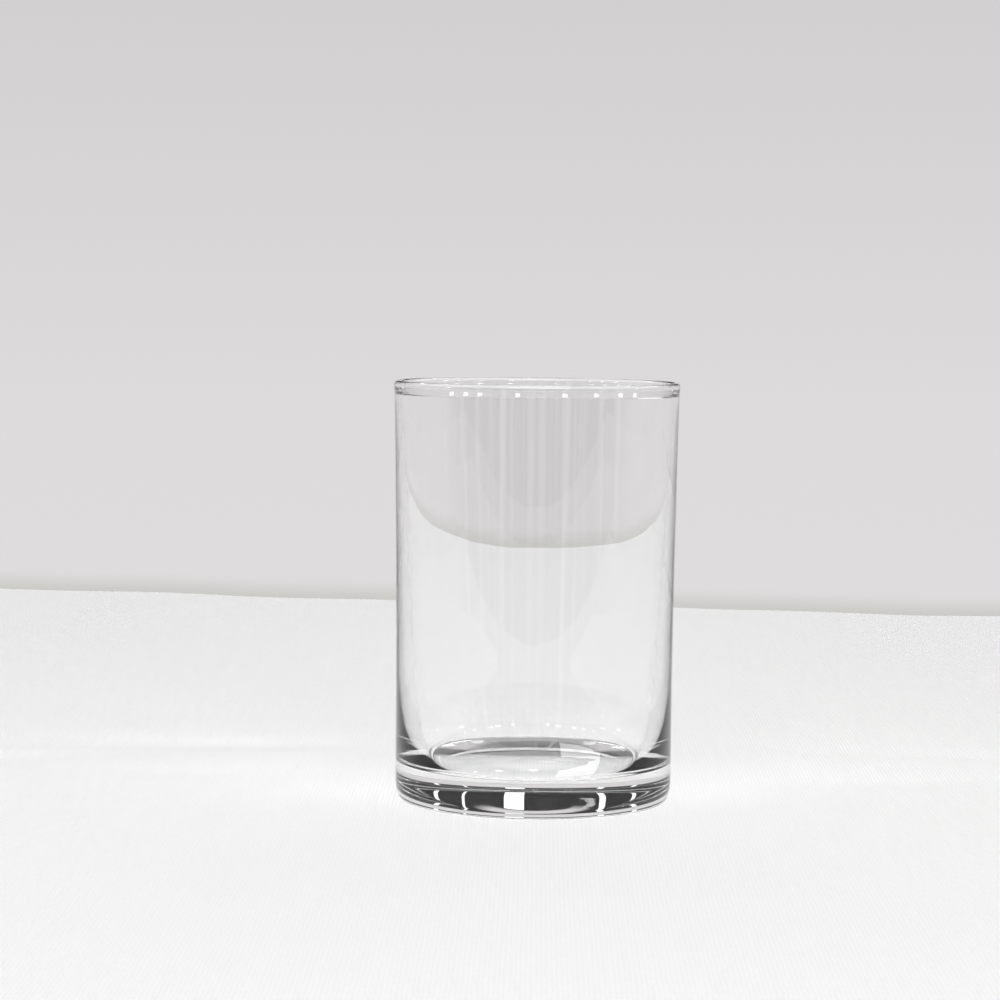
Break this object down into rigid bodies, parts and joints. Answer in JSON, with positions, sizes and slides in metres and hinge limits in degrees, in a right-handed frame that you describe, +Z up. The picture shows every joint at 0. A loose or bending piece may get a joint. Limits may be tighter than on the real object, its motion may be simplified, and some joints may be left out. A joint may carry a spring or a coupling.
{
  "type": "rocks glass",
  "caption": "Straight-sided clear drinking glass with a thick solid base, a wall that thins and flares slightly towards a rounded rim, and a shallow hollow under the foot.",
  "frame": {"origin": "middle of the foot, on the plane the glass stands on", "axes": "+Z up along the axis of the glass; the glass is round, so X and Y are free, and -Y faces the picture's camera"},
  "size_m": [0.07, 0.07, 0.1025],
  "materials": {
    "clear_glass": "polished, clear"
  },
  "bodies": {
    "root": {"tumbler": "clear_glass"}
  },
  "joints": []
}
